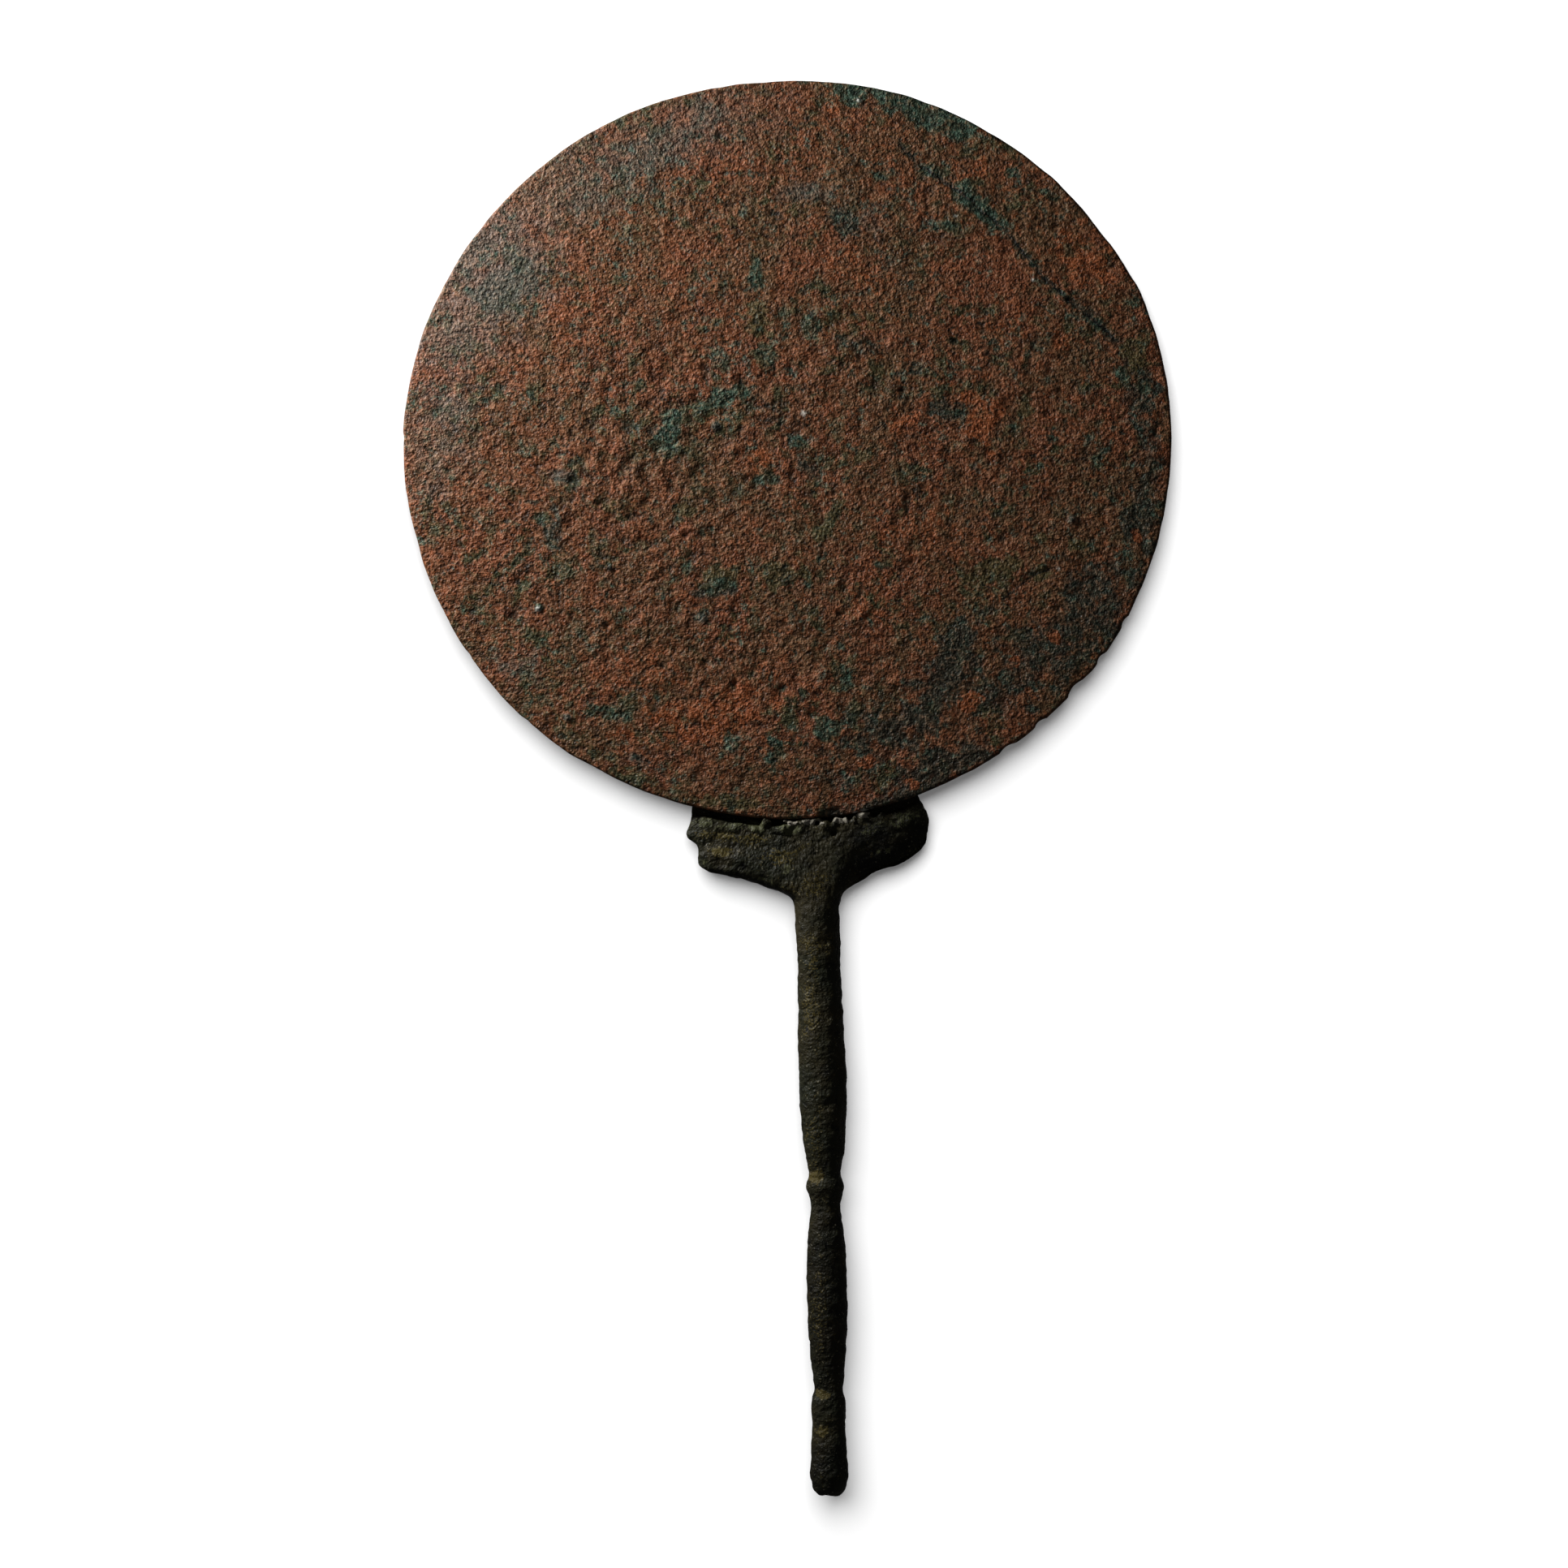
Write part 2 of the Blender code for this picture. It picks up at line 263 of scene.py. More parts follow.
# Relief of the disc: height of each kind, and how far apart its bumps are
FACE_WAVES = (0.10 * MM, 19 * MM)
FACE_LUMPS = (0.13 * MM, 5.0 * MM)
FACE_BUMPS = (0.17 * MM, 2.2 * MM)
FACE_GRAIN = (0.060 * MM, 0.85 * MM)
FACE_PITS = (0.16 * MM, 1.6 * MM)
TEAL_CRUST = (0.04 * MM, 0.9 * MM)
BACK_BUMPS = (0.05 * MM, 7 * MM)
RIM_WEAR = (0.10 * MM, 5.0 * MM)
RIM_CHIPS = (0.20 * MM, 3.0 * MM)
KNOB_RISE = 0.36 * MM
FLAKE_DEPTH = 0.35 * MM
RIM_NICK_DEPTH = 0.45 * MM
# Dark crust lies in low ground: the depth where it starts, and where it is full
LOW_START = 0.04 * MM
LOW_FULL = 0.24 * MM
# The crack and the gouge: height or depth of each part, and how wide it spreads
CRACK_RIDGE = (0.34 * MM, 0.8 * MM)
CRACK_FURROW = (0.22 * MM, 0.35 * MM)
CRACK_TEAL_SPREAD = 1.0 * MM
GOUGE_CUT = (0.14 * MM, 0.40 * MM)
GOUGE_HOLLOW_DEPTH = 0.12 * MM
# How far each of the two lines wanders, and how long its bends are
CRACK_WANDER = (0.20 * MM, 2.2 * MM)
GOUGE_WANDER = (0.15 * MM, 2.0 * MM)
# Beyond this distance nothing is painted for them
LINE_REACH = 2.5 * MM


# Random relief

NOISE_DIRECTIONS = 4096
NOISE_HASH = (73856093, 19349663, 83492791)
NOISE_GAIN = 1.7


def lattice_noise(points, cell, seed):
    """Smooth random heights from about -1 to 1, whose bumps are about one cell apart."""
    directions = np.random.default_rng(seed).normal(size=(NOISE_DIRECTIONS, 3))
    directions /= np.linalg.norm(directions, axis=1, keepdims=True)
    place = points / cell
    corner = np.floor(place).astype(np.int64)
    part = place - corner
    fade = part**3 * (part * (part * 6 - 15) + 10)
    total = np.zeros(len(points))
    for step in itertools.product((0, 1), repeat=3):
        index = np.bitwise_xor.reduce((corner + step) * NOISE_HASH, axis=1) % NOISE_DIRECTIONS
        slope = ((part - step) * directions[index]).sum(axis=1)
        weight = np.where(step, fade, 1 - fade).prod(axis=1)
        total += slope * weight
    return total * NOISE_GAIN


def layered_noise(points, cell, seed, layers):
    """Several layers of noise, each half as wide and half as high as the one before."""
    total = np.zeros(len(points))
    for layer in range(layers):
        total += lattice_noise(points, cell / 2**layer, seed + layer) / 2**layer
    return total


def smooth_step(low, high, values):
    """0 at the first limit, 1 at the second and an even S between them."""
    t = np.clip((values - low) / (high - low), 0, 1)
    return t * t * (3 - 2 * t)


def spread(distance, width):
    """1 on a line, fading smoothly to 0 within about twice the width."""
    return np.exp(-((distance / width) ** 2))


# Places in the photograph as places on the object

# Size of one pixel of the photograph, in metres
PIXEL = (CAD_BOX[1][0] - CAD_BOX[0][0]) / DISC_WIDTH_PIXELS
# How large the bends are that make the edge of a painted patch ragged
PATCH_BENDS = 2.6 * MM


def disc_middle():
    low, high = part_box("disc")
    return (low + high) / 2


def on_object(x, y):
    """A pixel of the photograph as a place seen from straight above."""
    middle = disc_middle()
    return np.array([middle.x + (x - DISC_MIDDLE[0]) * PIXEL, middle.y - (y - DISC_MIDDLE[1]) * PIXEL])


def patch_mask(points, patches, ragged, seed):
    """How strongly each point lies in a patch, with ragged edges."""
    flat = points[:, :2]
    jitter = layered_noise(points, PATCH_BENDS, seed, 3) * ragged
    mask = np.zeros(len(points))
    for x, y, half_length, half_width, turn, strength in patches:
        away = flat - on_object(x, y)
        c, s = math.cos(math.radians(turn)), math.sin(math.radians(turn))
        along = (away[:, 0] * c + away[:, 1] * s) / (half_length * PIXEL)
        across = (-away[:, 0] * s + away[:, 1] * c) / (half_width * PIXEL)
        inside = smooth_step(1.35, 0.35, np.hypot(along, across) + jitter)
        mask = np.maximum(mask, inside * strength)
    return mask


def line_distance(flat, line):
    """Each point's distance from a line of photograph pixels, positive on its left, and its place along it."""
    corners = [on_object(x, y) for x, y in line]
    best = np.full(len(flat), np.inf)
    side = np.ones(len(flat))
    along = np.zeros(len(flat))
    for i, (start, end) in enumerate(zip(corners, corners[1:])):
        way = end - start
        away = flat - start
        t = np.clip((away @ way) / (way @ way), 0, 1)
        distance = np.linalg.norm(away - t[:, None] * way, axis=1)
        closer = distance < best
        best[closer] = distance[closer]
        side[closer] = np.sign(away[:, 1] * way[0] - away[:, 0] * way[1])[closer]
        along[closer] = (i + t[closer]) / (len(corners) - 1)
    return best * side, along


def domes(flat, places):
    """Round bumps at places given with a radius in pixels, each 1 in its middle and 0 at its edge."""
    height = np.zeros(len(flat))
    for x, y, radius in places:
        away = np.linalg.norm(flat - on_object(x, y), axis=1) / (radius * PIXEL)
        height = np.maximum(height, 1 - away**2)
    return height


# Disc


def rim_radius(outline, angles):
    """How far the rim's edge is from the middle at the given angles."""
    return np.interp(angles, outline[:, 0], outline[:, 1], period=2 * math.pi)


def read_disc():
    """The solid's own frame and sizes: its lean, rim outline, thickness, dome and hollow."""
    points = np.array([v.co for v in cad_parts["disc"].data.vertices])
    middle = disc_middle()
    normal = np.linalg.svd(points - points.mean(axis=0), full_matrices=False)[2][-1]
    normal *= np.sign(normal[2])
    across = np.array([1.0, 0.0, 0.0]) - normal[0] * normal
    across /= np.linalg.norm(across)
    turn = np.array([across, np.cross(normal, across), normal])
    local = (points - np.array(middle)) @ turn.T
    lowest = local[:, 2].min()
    local[:, 2] -= lowest
    origin = np.array(middle) + lowest * turn[2]
    radius = np.hypot(local[:, 0], local[:, 1])
    angle = np.arctan2(local[:, 1], local[:, 0])
    group = np.round(angle / (2 * math.pi / OUTLINE_STEPS)).astype(int) % OUTLINE_STEPS
    outline = []
    for step in range(OUTLINE_STEPS):
        members = np.flatnonzero(group == step)
        if len(members):
            far = members[radius[members].argmax()]
            outline.append((angle[far] % (2 * math.pi), radius[far]))
    outline = np.array(sorted(outline))
    rim = radius > 0.999 * rim_radius(outline, angle)
    centre = radius < 2 * MM
    rounding = local[rim, 2].min()
    thickness = local[rim, 2].max() + rounding
    return {
        "turn": turn,
        "origin": origin,
        "outline": outline,
        "rounding": rounding,
        "thickness": thickness,
        "rise": local[centre, 2].max() - thickness,
        "hollow": local[centre, 2].min(),
    }


def disc_rings(rings):
    """Rings of six more points each: every point's share of the radius and its angle, the triangles between
    them, and the number of the outer ring's first point."""
    shares = [0.0]
    angles = [0.0]
    faces = []
    starts = [0]
    for ring in range(1, rings + 1):
        count = 6 * ring
        start = len(shares)
        starts.append(start)
        shares.extend([ring / rings] * count)
        angles.extend(2 * math.pi * np.arange(count) / count)
        inner_count = max(count - 6, 1)
        for side in range(6):
            i = np.arange(ring)
            outer = start + (side * ring + i) % count
            outer_next = start + (side * ring + i + 1) % count
            inner = starts[ring - 1] + (side * (ring - 1) + i) % inner_count
            faces.append(np.stack([inner, outer, outer_next], axis=1))
            i = i[:-1]
            if len(i):
                inner_next = starts[ring - 1] + (side * (ring - 1) + i + 1) % inner_count
                faces.append(np.stack([inner[:-1], outer_next[:-1], inner_next], axis=1))
    return np.array(shares), np.array(angles), np.concatenate(faces), starts[-1]


def rim_arc(disc):
    """The rounded rim as inset from the edge and height, from the face's edge down to the back's edge."""
    rounding = disc["rounding"]
    arc = []
    for level in range(1, RIM_LEVELS):
        turn = math.pi * level / RIM_LEVELS
        inset = rounding * (1 - math.sin(turn))
        flat = disc["thickness"] / 2 - rounding
        height = disc["thickness"] / 2 + rounding * math.cos(turn) + flat * np.sign(round(math.cos(turn), 6))
        arc.append((inset, height))
    return arc


def disc_mesh(disc):
    """Local points and triangles of the whole disc, with a weight from 1 on the face to 0 on the back."""
    outline = disc["outline"]
    points = []
    faces = []
    weights = []

    shares, angles, front, front_edge = disc_rings(FRONT_RINGS)
    radius = shares * (rim_radius(outline, angles) - disc["rounding"])
    height = disc["thickness"] + disc["rise"] * (1 - shares**2)
    points.append(np.stack([radius * np.cos(angles), radius * np.sin(angles), height], axis=1))
    weights.append(np.ones(len(shares)))
    faces.append(front)
    total = len(shares)

    count = 6 * FRONT_RINGS
    around = 2 * math.pi * np.arange(count) / count
    above = front_edge + np.arange(count)
    for inset, height in rim_arc(disc):
        radius = rim_radius(outline, around) - inset
        level = np.stack([radius * np.cos(around), radius * np.sin(around), np.full(count, height)], axis=1)
        below = total + np.arange(count)
        points.append(level)
        weights.append(np.full(count, height / disc["thickness"]))
        faces.append(np.stack([above, below, np.roll(below, -1)], axis=1))
        faces.append(np.stack([above, np.roll(below, -1), np.roll(above, -1)], axis=1))
        above = below
        total += count

    shares, angles, back, back_edge = disc_rings(BACK_RINGS)
    radius = shares * (rim_radius(outline, angles) - disc["rounding"])
    height = disc["hollow"] * (1 - shares**2)
    points.append(np.stack([radius * np.cos(angles), radius * np.sin(angles), height], axis=1))
    weights.append(np.zeros(len(shares)))
    faces.append(back[:, ::-1] + total)
    coarse = total + back_edge + np.arange(count // 2)
    even = above[0::2]
    odd = above[1::2]
    faces.append(np.stack([even, coarse, odd], axis=1))
    faces.append(np.stack([coarse, np.roll(coarse, -1), odd], axis=1))
    faces.append(np.stack([odd, np.roll(coarse, -1), np.roll(even, -1)], axis=1))
    return np.concatenate(points), np.concatenate(faces), np.concatenate(weights)


def crack_relief(points, flat):
    """The crack as a shallow furrow between raised crusts: its height, teal, strength and distance."""
    side, along = line_distance(flat, CRACK_LINE)
    distance = side + CRACK_WANDER[0] * lattice_noise(points, CRACK_WANDER[1], 71)
    strength = smooth_step(-0.05, 0.05, along) * smooth_step(1.0, 0.96, along)
    crust = domes(flat, CRACK_CRUSTS)
    lumps = 0.6 + 0.6 * layered_noise(points, 1.2 * MM, 73, 2)
    ridge = spread(distance, CRACK_RIDGE[1]) * (0.2 + crust) * lumps * strength
    furrow = spread(distance, CRACK_FURROW[1]) * strength
    height = CRACK_RIDGE[0] * ridge - CRACK_FURROW[0] * furrow
    teal = spread(distance, CRACK_TEAL_SPREAD) * strength * crust
    return height, teal, strength * (np.abs(side) < LINE_REACH), distance


def gouge_relief(points, flat):
    """The gouge as a cut with a smooth hollow beside it: its height, hollow, strength and distance."""
    side, along = line_distance(flat, GOUGE_LINE)
    distance = side + GOUGE_WANDER[0] * lattice_noise(points, GOUGE_WANDER[1], 81)
    strength = smooth_step(0.0, 0.1, along) * smooth_step(1.0, 0.9, along)
    cut = spread(distance, GOUGE_CUT[1]) * strength
    hollow = patch_mask(points, (GOUGE_HOLLOW,), 0.1, 11)
    height = -GOUGE_CUT[0] * cut - GOUGE_HOLLOW_DEPTH * hollow
    return height, hollow, strength * (np.abs(side) < LINE_REACH), distance


def face_relief(points, worn_and_sheen):
    """The corroded face without its single marks, and where its ground lies low."""
    rough = 0.75 + 0.75 * patch_mask(points, ROUGH_PATCHES, 0.4, 24) - 0.25 * worn_and_sheen
    waves = FACE_WAVES[0] * lattice_noise(points, FACE_WAVES[1], 21)
    lumps = FACE_LUMPS[0] * rough * layered_noise(points, FACE_LUMPS[1], 31, 2)
    bumps = FACE_BUMPS[0] * rough * layered_noise(points, FACE_BUMPS[1], 41, 2)
    grain = FACE_GRAIN[0] * lattice_noise(points, FACE_GRAIN[1], 51)
    pits = -FACE_PITS[0] * smooth_step(0.40, 0.8, lattice_noise(points, FACE_PITS[1], 61))
    low = smooth_step(-LOW_START, -LOW_FULL, bumps + grain + pits)
    return waves + lumps + bumps + grain + pits, low


def wear_rim(local, points, outline):
    """Moves the rim's edge in and out: slow waves, small chips and the nicks that the photograph shows."""
    reach = np.linalg.norm(local[:, :2], axis=1)
    share = reach / rim_radius(outline, np.arctan2(local[:, 1], local[:, 0]))
    wear = RIM_WEAR[0] * layered_noise(points, RIM_WEAR[1], 27, 3)
    wear -= RIM_CHIPS[0] * smooth_step(0.45, 0.9, lattice_noise(points, RIM_CHIPS[1], 28))
    wear -= RIM_NICK_DEPTH * domes(points[:, :2], RIM_NICKS)
    local[:, :2] *= 1 + (wear * smooth_step(0.93, 0.985, share) / np.maximum(reach, MM))[:, None]


def painted_glints(points, flat):
    """Light specks of painted glint, and broken lines of painted highlight along the disc's lower edge."""
    glints = domes(flat, GLINT_SPECKS)
    broken = smooth_step(-0.1, 0.4, lattice_noise(points, 0.9 * MM, 95))
    for line in (FLAKE_GLINT_EDGE, GLINT_EDGE):
        distance, _ = line_distance(flat, line)
        thin = smooth_step(0.34 * MM, 0.16 * MM, np.abs(distance))
        glints = np.maximum(glints, thin * broken * 0.8)
    return glints


def dress_disc(disc):
    """The worn disc: relief on the face and the rim, a plainer back, and the masks of its patina and of its
    painted sheen, shade and glints.
    """
    local, faces, weight = disc_mesh(disc)
    points = local @ disc["turn"] + disc["origin"]
    flat = points[:, :2]
    # Where the face is worn smoother and painted with a grey sheen
    worn_and_sheen = patch_mask(points, WORN_AND_SHEEN_PATCHES, 0.4, 23)
    relief, low = face_relief(points, worn_and_sheen)
    crack, crack_teal, crack_strength, crack_side = crack_relief(points, flat)
    gouge, gouge_hollow, gouge_strength, gouge_side = gouge_relief(points, flat)
    knobs = domes(flat, KNOBS)
    flake = patch_mask(points, (EDGE_FLAKE,), 0.35, 11)
    teal = np.maximum(patch_mask(points, TEAL_PATCHES, 0.5, 11), 0.75 * crack_teal)
    relief = relief * (1 - 0.8 * gouge_hollow) + crack + gouge + KNOB_RISE * knobs - FLAKE_DEPTH * flake
    relief += TEAL_CRUST[0] * teal * (1 + layered_noise(points, TEAL_CRUST[1], 91, 2))
    back_relief = BACK_BUMPS[0] * layered_noise(points, BACK_BUMPS[1], 25, 3)

    front = weight > 0.5
    local[:, 2] += np.where(front, relief * np.clip(weight * 2 - 1, 0, 1), -back_relief * (1 - 2 * weight))
    wear_rim(local, points, disc["outline"])
    worn_points = local @ disc["turn"] + disc["origin"]
    worn_points[:, 2] = np.maximum(worn_points[:, 2], 0.0)
    masks = {
        "teal": teal * front,
        # Slate grey patina, partly painted sheen
        "slate_and_sheen": patch_mask(worn_points, SLATE_AND_SHEEN_PATCHES, 0.6, 12) * front,
        # Dark grey-green patina, partly painted shade along the rim
        "deep_and_shade": patch_mask(worn_points, DEEP_AND_SHADE_PATCHES, 0.6, 26) * front,
        "olive": np.maximum(patch_mask(worn_points, OLIVE_PATCHES, 0.6, 13), gouge_hollow * 0.8) * front,
        "red": patch_mask(worn_points, RED_PATCHES, 0.7, 14) * front,
        "dark": flake * 0.9 * front,
        "knob": np.clip(1.6 * knobs, 0, 1) * front,
        # Painted glints in specks, and painted highlight along the lower edge
        "glint": painted_glints(worn_points, flat) * front,
        "crack": crack_strength * front,
        "crack_side": np.clip(crack_side / MM, -3, 3),
        "gouge": gouge_strength * front,
        "gouge_side": np.clip(gouge_side / MM, -3, 3),
        "low": low * front,
        # Worn smoother face that also carries a painted grey sheen
        "worn_and_sheen": worn_and_sheen * front,
    }
    return add_piece("disc_worn", disc_surface(worn_points, faces), masks)


def disc_surface(points, faces):
    mesh = bpy.data.meshes.new("disc_worn")
    mesh.vertices.add(len(points))
    mesh.vertices.foreach_set("co", points.astype(np.float32).ravel())
    mesh.loops.add(faces.size)
    mesh.loops.foreach_set("vertex_index", faces.astype(np.int32).ravel())
    mesh.polygons.add(len(faces))
    mesh.polygons.foreach_set("loop_start", np.arange(0, faces.size, 3, dtype=np.int32))
    mesh.update(calc_edges=True)
    mesh.validate()
    return mesh


def add_object(name, data):
    made = bpy.data.objects.new(name, data)
    bpy.context.scene.collection.objects.link(made)
    return made


def add_piece(name, mesh, masks):
    """A visible piece with its masks as values on the mesh's points, which the materials read by name."""
    mesh.shade_smooth()
    for mask, values in masks.items():
        layer = mesh.attributes.new(mask, "FLOAT", "POINT")
        layer.data.foreach_set("value", values.astype(np.float32))
    return add_object(name, mesh)


# Handle

# Crumbs of old solder in the groove: middle, spread along, spread across, count
LIGHT_CRUMBS = (
    (1000, 1013, 10, 3, 12),
    (974, 1013, 6, 1.5, 4),
    (1037, 1010, 8, 2, 12),
    (1064, 1003, 8, 2, 10),
)
DARK_CRUMBS = (
    (1016, 1017, 8, 3, 14),
    (990, 1016, 8, 3, 8),
    (1024, 1022, 4, 4, 5),
    (946, 1012, 16, 1.5, 6),
)
# Crumbs stand on the ledge: their radius, their height, and how far they rise past the disc's face
CRUMB_RADIUS = (0.26 * MM, 0.46 * MM)
CRUMB_REACH = 2.5 * MM
CRUMB_RISE = 0.25 * MM
# Light solder shows near the face alone: no colour below the first depth, full colour above the second
SOLDER_DEPTHS = (0.9 * MM, 0.4 * MM)
# Crumbly olive crust that stands up along the left lip, and other light crust, partly painted highlight where
# the right lobe's upper edge and rim catch the light
LIP_CRUST = (
    (868, 1014, 18, 7, -6, 0.7),
    (900, 1018, 22, 9, -4, 0.6),
    (932, 1018, 14, 8, -4, 0.9),
    (972, 1022, 16, 8, -12, 0.9),
)
CRUST_AND_HIGHLIGHT_PATCHES = (
    (1118, 1006, 24, 11, 24, 0.55),
    (1076, 1020, 30, 8, 20, 0.35),
    (868, 1062, 4, 4, 0, 1.0),
    (938, 1082, 5, 3, 0, 1.0),
    (952, 1089, 8, 4, -30, 0.6),
    (968, 1070, 7, 9, 0, 0.6),
    (1094, 1048, 4, 3, 0, 1.4),
    (1082, 1049, 3, 3, 0, 1.2),
    (1126, 1050, 12, 5, 30, 0.4),
)
OCHRE_PATCHES = (
    (890, 1030, 26, 8, -10, 0.6),
    (924, 1034, 26, 10, 0, 0.55),
    (888, 1049, 20, 7, 0, 0.8),
    (962, 1056, 20, 14, 0, 0.5),
    (985, 1046, 14, 8, 30, 0.5),
    (1004, 1447, 9, 8, 0, 0.9),
    (1012, 1713, 10, 5, 0, 0.9),
    (1014, 1757, 14, 7, 0, 0.7),
    (1000, 1090, 30, 14, 20, 0.45),
    (1004, 1160, 20, 16, 0, 0.4),
    (1000, 1240, 12, 80, 0, 0.45),
    (1004, 1400, 12, 60, 0, 0.35),
    (1008, 1620, 12, 60, 0, 0.35),
)
# Hollows in the bracket's front, each with its depth in place of a strength
BRACKET_HOLLOWS = (
    (1027, 1027, 4, 4, 0, 0.7 * MM),
    (962, 1029, 12, 2.5, -10, 0.35 * MM),
    (896, 1027, 14, 3, -5, 0.25 * MM),
    (912, 1040, 46, 9, -6, 0.25 * MM),
    (902, 1074, 46, 14, -16, 0.6 * MM),
)
# The brow of the right lobe and the neck; beyond it the front falls away to the lower right, and at the
# neck the fall fades out between two heights of the photograph
BROW_LINE = ((1028, 1120), (1028, 1085), (1030, 1062), (1038, 1042), (1068, 1026), (1108, 1015), (1142, 998))
BROW_SLOPE = 0.50
BROW_SOFTNESS = 1.3 * MM
BROW_DROP = 2.3 * MM
BROW_FADE = (1124, 1100)
# Places painted nearly black
NEAR_BLACK_PATCHES = (
    (1100, 1050, 60, 24, 26, 0.9),
    (1064, 1030, 36, 16, 20, 0.8),
    (1110, 1018, 30, 14, 24, 0.45),
    (900, 1080, 50, 10, -14, 0.5),
    (930, 1044, 70, 30, -10, 0.3),
    (1012, 1800, 30, 40, 0, 0.6),
    (1012, 1600, 30, 130, 0, 0.55),
)
# Relief of the handle: height of each kind, and how far apart its bumps are
HANDLE_LUMPS = (0.10 * MM, 5.0 * MM)
HANDLE_BUMPS = (0.13 * MM, 2.1 * MM)
HANDLE_GRAIN = (0.04 * MM, 0.9 * MM)
HANDLE_PITS = (0.16 * MM, 1.7 * MM)
LIP_RISE = (0.45 * MM, 1.5 * MM)


def add_crumbs(work, clusters, seed):
    """Small lumps of solder that stand on the ledge, between the disc's edge and the lip."""
    rng = np.random.default_rng(seed)
    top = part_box("disc")[1].z
    for x, y, along, across, count in clusters:
        for _ in range(count):
            place = on_object(x + rng.normal(0, along), y + rng.normal(0, across))
            size = rng.uniform(*CRUMB_RADIUS)
            reach = CRUMB_REACH * rng.uniform(0.7, 1.0) / 2
            made = bmesh.ops.create_icosphere(work, subdivisions=2, radius=size)
            stretch = Matrix.Diagonal((1.0, rng.uniform(0.6, 1.0), reach / size, 1.0))
            height = top + CRUMB_RISE - CRUMB_REACH / 2
            bmesh.ops.transform(
                work, matrix=Matrix.Translation((place[0], place[1], height)) @ stretch, verts=made["verts"]
            )


def remeshed_handle():
    """The solid and its crumbs as one even mesh, with the facets smoothed out."""
    work = bmesh.new()
    work.from_mesh(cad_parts["handle"].data)
    bmesh.ops.remove_doubles(work, verts=work.verts, dist=0.001 * MM)
    add_crumbs(work, LIGHT_CRUMBS, 5)
    add_crumbs(work, DARK_CRUMBS, 6)
    mesh = bpy.data.meshes.new("handle_cage")
    work.to_mesh(mesh)
    work.free()
    cage = add_object("handle_cage", mesh)
    remesh = cage.modifiers.new("even", "REMESH")
    remesh.mode = "VOXEL"
    remesh.voxel_size = HANDLE_VOXEL
    smooth = cage.modifiers.new("smooth", "SMOOTH")
    smooth.factor = 0.5
    smooth.iterations = HANDLE_SMOOTHING
    evaluated = cage.evaluated_get(bpy.context.evaluated_depsgraph_get())
    even = bpy.data.meshes.new_from_object(evaluated)
    bpy.data.objects.remove(cage, do_unlink=True)
    return even


def handle_relief(points, lip):
    """The rough cast surface, with the crumbly crust that stands up along the left lip."""
    relief = HANDLE_LUMPS[0] * layered_noise(points, HANDLE_LUMPS[1], 22, 2)
    relief += HANDLE_BUMPS[0] * layered_noise(points, HANDLE_BUMPS[1], 32, 2)
    relief += HANDLE_GRAIN[0] * lattice_noise(points, HANDLE_GRAIN[1], 42)
    relief -= HANDLE_PITS[0] * smooth_step(0.4, 0.9, lattice_noise(points, HANDLE_PITS[1], 52))
    return relief + LIP_RISE[0] * lip * (0.5 + layered_noise(points, LIP_RISE[1], 62, 2))


def front_drop(points):
    """How far the bracket's front lies back: its hollows, and the slope beyond the brow."""
    side, _ = line_distance(points[:, :2], BROW_LINE)
    beyond = np.maximum(-side, 0)
    eased = beyond**2 / (beyond + BROW_SOFTNESS)
    low, high = (on_object(0, y)[1] for y in BROW_FADE)
    slope = BROW_DROP * (1 - np.exp(-BROW_SLOPE * eased / BROW_DROP)) * smooth_step(low, high, points[:, 1])
    return patch_mask(points, BRACKET_HOLLOWS, 0.15, 18) + slope


def solder_mask(points):
    """Light solder round the crumbs in the groove, near the disc's face alone."""
    solder = np.zeros(len(points))
    for x, y, along, _, _ in LIGHT_CRUMBS:
        solder = np.maximum(solder, patch_mask(points, ((x, y, along * 1.6, 5, 0, 1.0),), 0.1, 17))
    below_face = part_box("disc")[1].z - points[:, 2]
    return solder * smooth_step(*SOLDER_DEPTHS, below_face)


def dress_handle():
    """The cast handle: rough relief, crumbs and crust at the joint, and the masks of its patina and of its
    painted highlight.
    """
    mesh = remeshed_handle()
    count = len(mesh.vertices)
    points = np.zeros(count * 3, np.float32)
    normals = np.zeros(count * 3, np.float32)
    mesh.vertices.foreach_get("co", points)
    mesh.vertex_normals.foreach_get("vector", normals)
    points = points.reshape(-1, 3).astype(float)
    normals = normals.reshape(-1, 3).astype(float)
    upward = np.clip(normals[:, 2] * 2, 0, 1)
    lip = patch_mask(points, LIP_CRUST, 0.5, 15)
    # Light crust, with painted highlight on the right lobe's upper edge and rim
    crust = np.maximum(lip, patch_mask(points, CRUST_AND_HIGHLIGHT_PATCHES, 0.3, 20))
    ochre = patch_mask(points, OCHRE_PATCHES, 0.6, 16)
    solder = solder_mask(points)
    relief = handle_relief(points, lip * upward)
    drop = front_drop(points)
    points += normals * relief[:, None]
    points[:, 2] -= drop * upward
    points[:, 2] = np.maximum(points[:, 2], 0.0)
    mesh.vertices.foreach_set("co", points.astype(np.float32).ravel())
    front = normals[:, 2] > -0.2
    masks = {
        # Light crust, partly painted highlight on the right lobe's edges
        "crust": crust * front,
        "ochre": ochre * front,
        "solder": solder * front,
        # Places painted nearly black
        "near_black": patch_mask(points, NEAR_BLACK_PATCHES, 0.5, 19) * front,
    }
    return add_piece("handle_worn", mesh, masks)


# Materials


